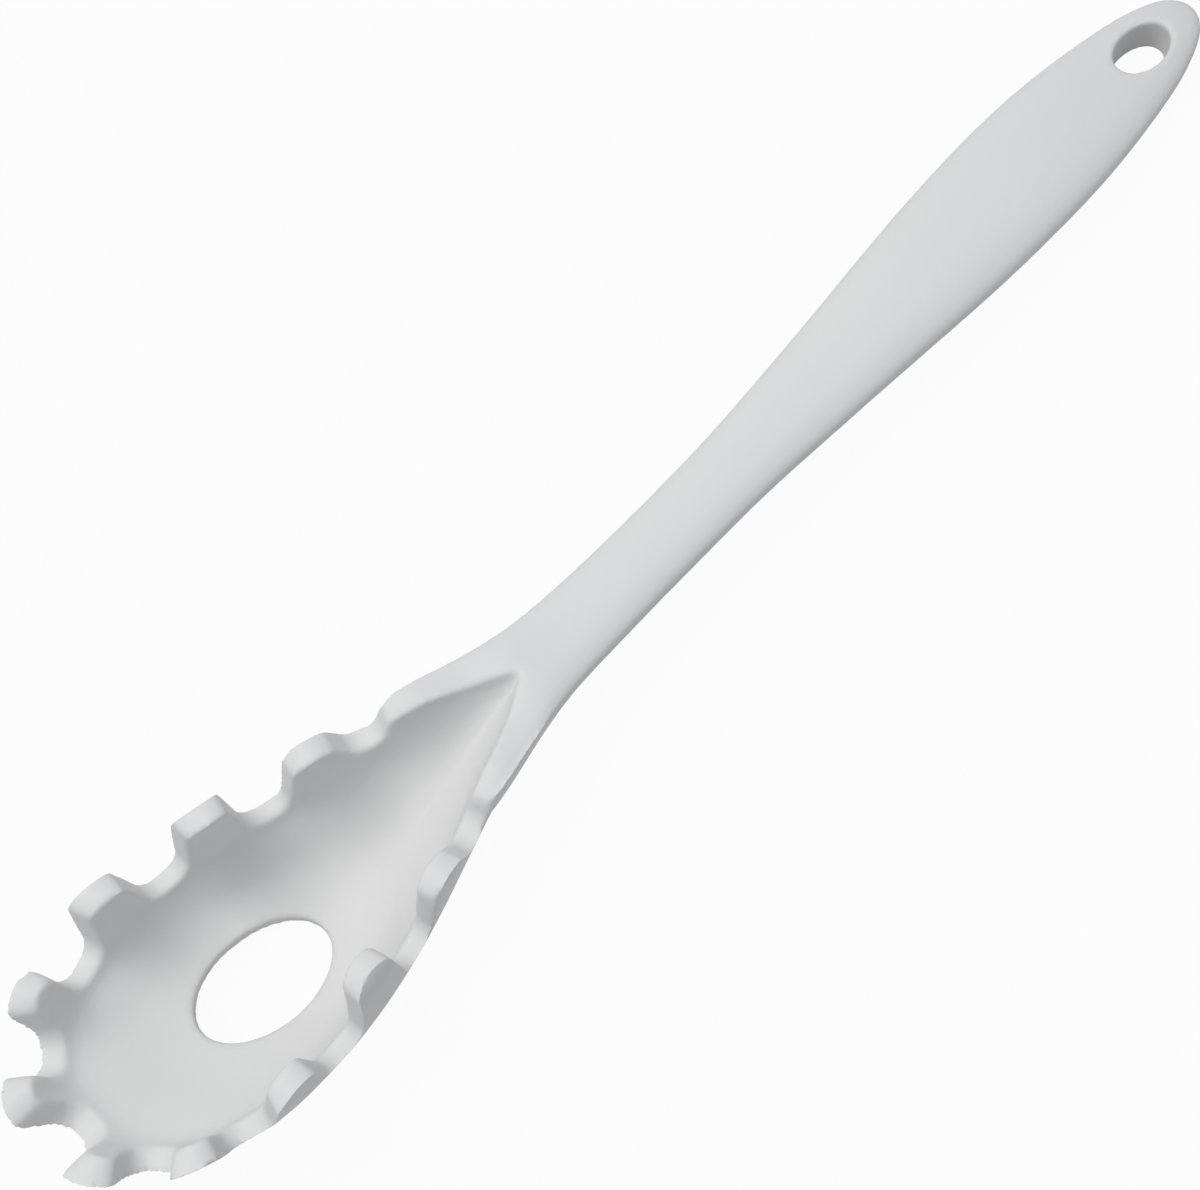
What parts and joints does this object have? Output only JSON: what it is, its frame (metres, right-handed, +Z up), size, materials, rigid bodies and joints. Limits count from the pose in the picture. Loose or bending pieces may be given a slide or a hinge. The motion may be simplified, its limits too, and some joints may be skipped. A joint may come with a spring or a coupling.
{
  "type": "pasta server",
  "caption": "Pasta server with a ten-toothed scoop, an oval drain hole and a hanging hole, its silicone jacket moulded over nylon cores and a steel strip.",
  "frame": {"origin": "centre of the bounding box's bottom face, on the table that the tool lies on", "axes": "+X from the scoop to the handle's end, +Y to the tool's left side, +Z up, out of the scoop's hollow"},
  "size_m": [0.3016, 0.0516, 0.035],
  "materials": {
    "silicone": "matte",
    "nylon": "matte",
    "steel": "brushed"
  },
  "bodies": {
    "root": {"jacket": "silicone", "scoop_core": "nylon", "handle_core": "nylon", "strip": "steel"}
  },
  "joints": []
}
